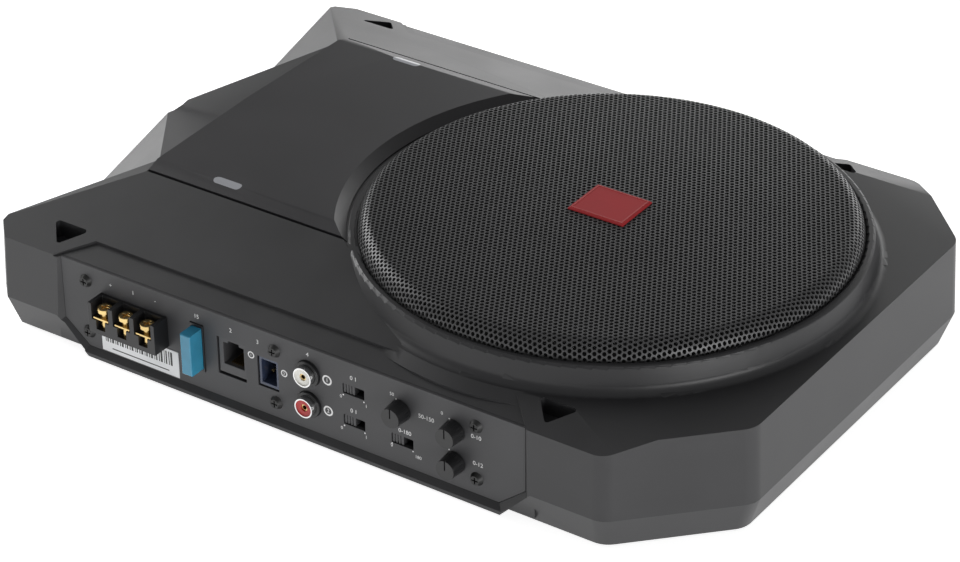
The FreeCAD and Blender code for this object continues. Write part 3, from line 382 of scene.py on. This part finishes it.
def perforated_grille():
    """Pressed steel mesh: staggered round holes, carried over the dome and down the shoulder."""
    reach = SHOULDER_R + SHOULDER_LENGTH + SKIRT_LENGTH
    row_step = HOLE_PITCH * math.sqrt(3) / 2
    rows = int(reach / row_step) + 1
    columns = int(reach / HOLE_PITCH) + 2
    verts = []
    faces = []
    shared = {}

    def corner(x, y):
        key = (round(x / MM * CORNER_GRID), round(y / MM * CORNER_GRID))
        if key not in shared:
            shared[key] = len(verts)
            verts.append(dome_point(x, y))
        return shared[key]

    for row in range(-rows, rows + 1):
        for column in range(-columns, columns + 1):
            cx = (column + 0.5 * (row % 2)) * HOLE_PITCH
            cy = row * row_step
            if math.hypot(cx, cy) > reach:
                continue
            rim = []
            hole = []
            for i in range(HOLE_SIDES):
                a = math.pi / 6 + 2 * math.pi * i / HOLE_SIDES
                far = HOLE_PITCH / math.sqrt(3) if i % 2 == 0 else HOLE_PITCH / 2
                rim.append(corner(cx + far * math.cos(a), cy + far * math.sin(a)))
                hole.append(len(verts))
                verts.append(dome_point(cx + HOLE_RADIUS * math.cos(a), cy + HOLE_RADIUS * math.sin(a)))
            for i in range(HOLE_SIDES):
                j = (i + 1) % HOLE_SIDES
                faces.append((rim[i], rim[j], hole[j], hole[i]))
    data = bpy.data.meshes.new("perforated")
    data.from_pydata(verts, [], faces)
    data.update()
    piece = add_piece("grille_perforated", data, "chassis", "mesh_metal", "grille_mesh")
    skin = piece.modifiers.new("skin", "SOLIDIFY")
    skin.thickness = GRILLE_SKIN
    skin.offset = -1.0


def badge():
    """Plain red badge: bevelled plate with a narrow raised border, and nothing written on it."""
    softened("grille_badge", 0.2 * MM)
    outer = badge_corners(BORDER_INSET)
    inner = badge_corners(BORDER_INSET + BORDER_WIDTH)
    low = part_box("grille_badge")[1].z - BORDER_SINK
    top = low + BORDER_RISE
    mesh = bmesh.new()
    rings = [[mesh.verts.new((x, y, z)) for x, y in line]
             for line, z in ((outer, low), (outer, top), (inner, top), (inner, low))]
    for k in range(4):
        ring = rings[k]
        following = rings[(k + 1) % 4]
        for i in range(4):
            j = (i + 1) % 4
            mesh.faces.new((ring[i], ring[j], following[j], following[i]))
    bmesh.ops.recalc_face_normals(mesh, faces=mesh.faces)
    border = add_piece("badge_border", finished(mesh, "badge_border"), "chassis", "badge_edge")


def badge_corners(inset):
    """The badge's rectangle, pulled in by an inset."""
    low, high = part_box("grille_badge")
    x0, x1 = low.x + inset, high.x - inset
    y0, y1 = low.y + inset, high.y - inset
    return [(x0, y0), (x1, y0), (x1, y1), (x0, y1)]


# ================================================================ moving suspension
def flexing_ring(node):
    """The cone's suspension ring cut into wedges, each reaching from the basket, outside, to the cone,
    inside.
    """
    centre = Vector((RING_X, MID_Y, 0))
    for number in range(SUSPENSION_WEDGES):
        mesh = bmesh.new()
        mesh.from_mesh(NODES[node].data)
        others = [face for face in mesh.faces if wedge_of(face.calc_center_median() - centre) != number]
        bmesh.ops.delete(mesh, geom=others, context="FACES")
        data = finished(mesh, "%s_%d" % (node, number))
        piece = bpy.data.objects.new("%s_wedge_%d" % (node, number), data)
        bpy.context.scene.collection.objects.link(piece)
        paint(piece, slot_of(node))
        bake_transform(piece)
        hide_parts(node)


def wedge_of(offset):
    turn = math.atan2(offset.y, offset.x) % (2 * math.pi)
    return int(turn / (2 * math.pi) * SUSPENSION_WEDGES)


# ================================================================ printed marks
def mark(name, text, x, z, height, lift=SIGN_LIFT):
    """Generic number or sign printed on the connection panel; only its height is in millimetres."""
    curve = bpy.data.curves.new(name, "FONT")
    curve.body = text
    curve.size = height * TEXT_SCALE * MM
    curve.align_x = "CENTER"
    curve.align_y = "CENTER"
    curve.extrude = INK_THICKNESS / 2
    holder = bpy.data.objects.new(name + "_text", curve)
    bpy.context.scene.collection.objects.link(holder)
    bpy.context.view_layer.update()
    data = bpy.data.meshes.new_from_object(holder.evaluated_get(bpy.context.evaluated_depsgraph_get()))
    bpy.data.objects.remove(holder)
    data.transform(Matrix.Rotation(math.radians(90), 4, "X"))
    data.transform(Matrix.Translation((x, PANEL_FACE_Y - lift, z)))
    piece = add_piece(name, data, "chassis", "ink")


def marks_beside(name, rows, height):
    """A numbered piece for each row of a table of marks."""
    for number, (text, node, right, above) in enumerate(rows):
        middle = middle_of(node)
        mark("%s_%d" % (name, number), text, middle.x + right * MM, middle.z + above * MM, height)


def discs_beside(name, rows, slot_name, lift, share=1.0):
    """One piece with all the flat printed discs of a table; share shrinks every one of them."""
    mesh = bmesh.new()
    for node, right, above, radius in rows:
        middle = middle_of(node)
        place = Matrix.Translation((middle.x + right * MM, PANEL_FACE_Y - lift + INK_THICKNESS / 2,
                                    middle.z + above * MM))
        bmesh.ops.create_cone(mesh, cap_ends=True, segments=DISC_SIDES, radius1=radius * share * MM,
                              radius2=radius * share * MM, depth=INK_THICKNESS,
                              matrix=place @ Matrix.Rotation(math.pi / 2, 4, "X"))
    piece = add_piece(name, finished(mesh, name), "chassis", slot_name)


def panel_marks():
    """Numbers, signs and dots in the places where such a panel is printed."""
    marks_beside("sign", SIGNS, SIGN_HEIGHT)
    marks_beside("scale", SCALES, SCALE_HEIGHT)
    discs_beside("index_dots", DOTS, "ink", PRINT_LIFT)
    discs_beside("roundels", ROUNDELS, "ink", PRINT_LIFT)
    discs_beside("roundel_centres", ROUNDELS, "panel_metal", CENTRE_LIFT, ROUNDEL_CENTRE)
    for number, (node, right, above, radius) in enumerate(ROUNDELS):
        middle = middle_of(node)
        mark("roundel_sign_%d" % number, str(number % 2 + 1), middle.x + right * MM, middle.z + above * MM,
             radius * ROUNDEL_SIGN, ROUNDEL_SIGN_LIFT)


def label_print():
    """Dark printed bars of even rhythm on the white label: a decoration, not a code."""
    low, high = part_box("rating_label")
    middle = (low + high) / 2
    mesh = bmesh.new()
    x = low.x + LEFT_MARGIN
    step = 0
    while x < high.x - RIGHT_MARGIN:
        wide = BAR_WIDTHS[step % len(BAR_WIDTHS)] * MM
        add_bar(mesh, x + wide / 2, low.y, middle.z + BARS_RISE, wide, BAR_HEIGHT)
        x += wide + BAR_GAPS[step % len(BAR_GAPS)] * MM
        step += 1
    add_bar(mesh, middle.x, low.y, low.z + LINE_RISE, LINE_LENGTH, LINE_WIDTH)
    piece = add_piece("label_bars", finished(mesh, "label_bars"), "chassis", "black_plastic")


def add_bar(mesh, x, y, z, wide, tall):
    """One printed rectangle, just proud of the surface at y."""
    place = Matrix.Translation((x, y - PRINT_LIFT + INK_THICKNESS / 2, z))
    bmesh.ops.create_cube(mesh, size=1.0, matrix=place @ Matrix.Diagonal((wide, INK_THICKNESS, tall, 1.0)))


# ================================================================ stage
def area_light(name, place, width, height, power):
    data = bpy.data.lights.new(name, "AREA")
    data.shape = "RECTANGLE"
    data.size = width
    data.size_y = height
    data.energy = power
    lamp = bpy.data.objects.new(name, data)
    lamp.location = place
    lamp.rotation_euler = (Vector(LIGHT_TARGET) - Vector(place)).to_track_quat("-Z", "Y").to_euler()
    bpy.context.scene.collection.objects.link(lamp)


def stage():
    """Pale floor and even studio light."""
    data = bpy.data.meshes.new("floor")
    corners = [(-FLOOR_REACH, -FLOOR_REACH, 0), (FLOOR_REACH, -FLOOR_REACH, 0),
               (FLOOR_REACH, FLOOR_REACH, 0), (-FLOOR_REACH, FLOOR_REACH, 0)]
    data.from_pydata(corners, [], [(0, 1, 2, 3)])
    floor = bpy.data.objects.new("floor", data)
    bpy.context.scene.collection.objects.link(floor)
    paint(floor, "floor")
    world = bpy.data.worlds.new("studio")
    world.use_nodes = True
    world.node_tree.nodes["Background"].inputs["Color"].default_value = (1.0, 1.0, 1.0, 1.0)
    world.node_tree.nodes["Background"].inputs["Strength"].default_value = WORLD_STRENGTH
    bpy.context.scene.world = world
    bpy.context.scene.view_settings.view_transform = "Standard"
    area_light("left_softbox", (-1.7, 0.2, 0.7), width=1.3, height=1.1, power=20)
    area_light("right_softbox", (1.8, -0.6, 0.2), width=1.1, height=0.35, power=12)
    area_light("back_softbox", (-0.4, 1.9, 0.4), width=1.6, height=0.6, power=9)


def camera():
    """Camera at the photo's viewpoint, aimed by azimuth, elevation and roll."""
    azimuth = math.radians(CAMERA_AZIMUTH)
    elevation = math.radians(CAMERA_ELEVATION)
    roll = math.radians(CAMERA_ROLL)
    forward = Vector((-math.sin(azimuth) * math.cos(elevation), math.cos(azimuth) * math.cos(elevation),
                      -math.sin(elevation)))
    level_right = Vector((math.cos(azimuth), math.sin(azimuth), 0))
    level_up = level_right.cross(forward)
    right = math.cos(roll) * level_right + math.sin(roll) * level_up
    up = -math.sin(roll) * level_right + math.cos(roll) * level_up
    turn = Matrix((right, up, -forward)).transposed().to_4x4()
    data = bpy.data.cameras.new("camera")
    data.lens = CAMERA_LENS
    data.sensor_width = 36.0
    data.sensor_fit = "HORIZONTAL"
    data.clip_start = 0.01
    view = bpy.data.objects.new("camera", data)
    view.matrix_world = Matrix.Translation(CAMERA_PLACE) @ turn
    bpy.context.scene.collection.objects.link(view)
    bpy.context.scene.camera = view


camera()
stage()
carried_over()
perforated_grille()
badge()
flexing_ring("spider")
flexing_ring("surround")
panel_marks()
label_print()
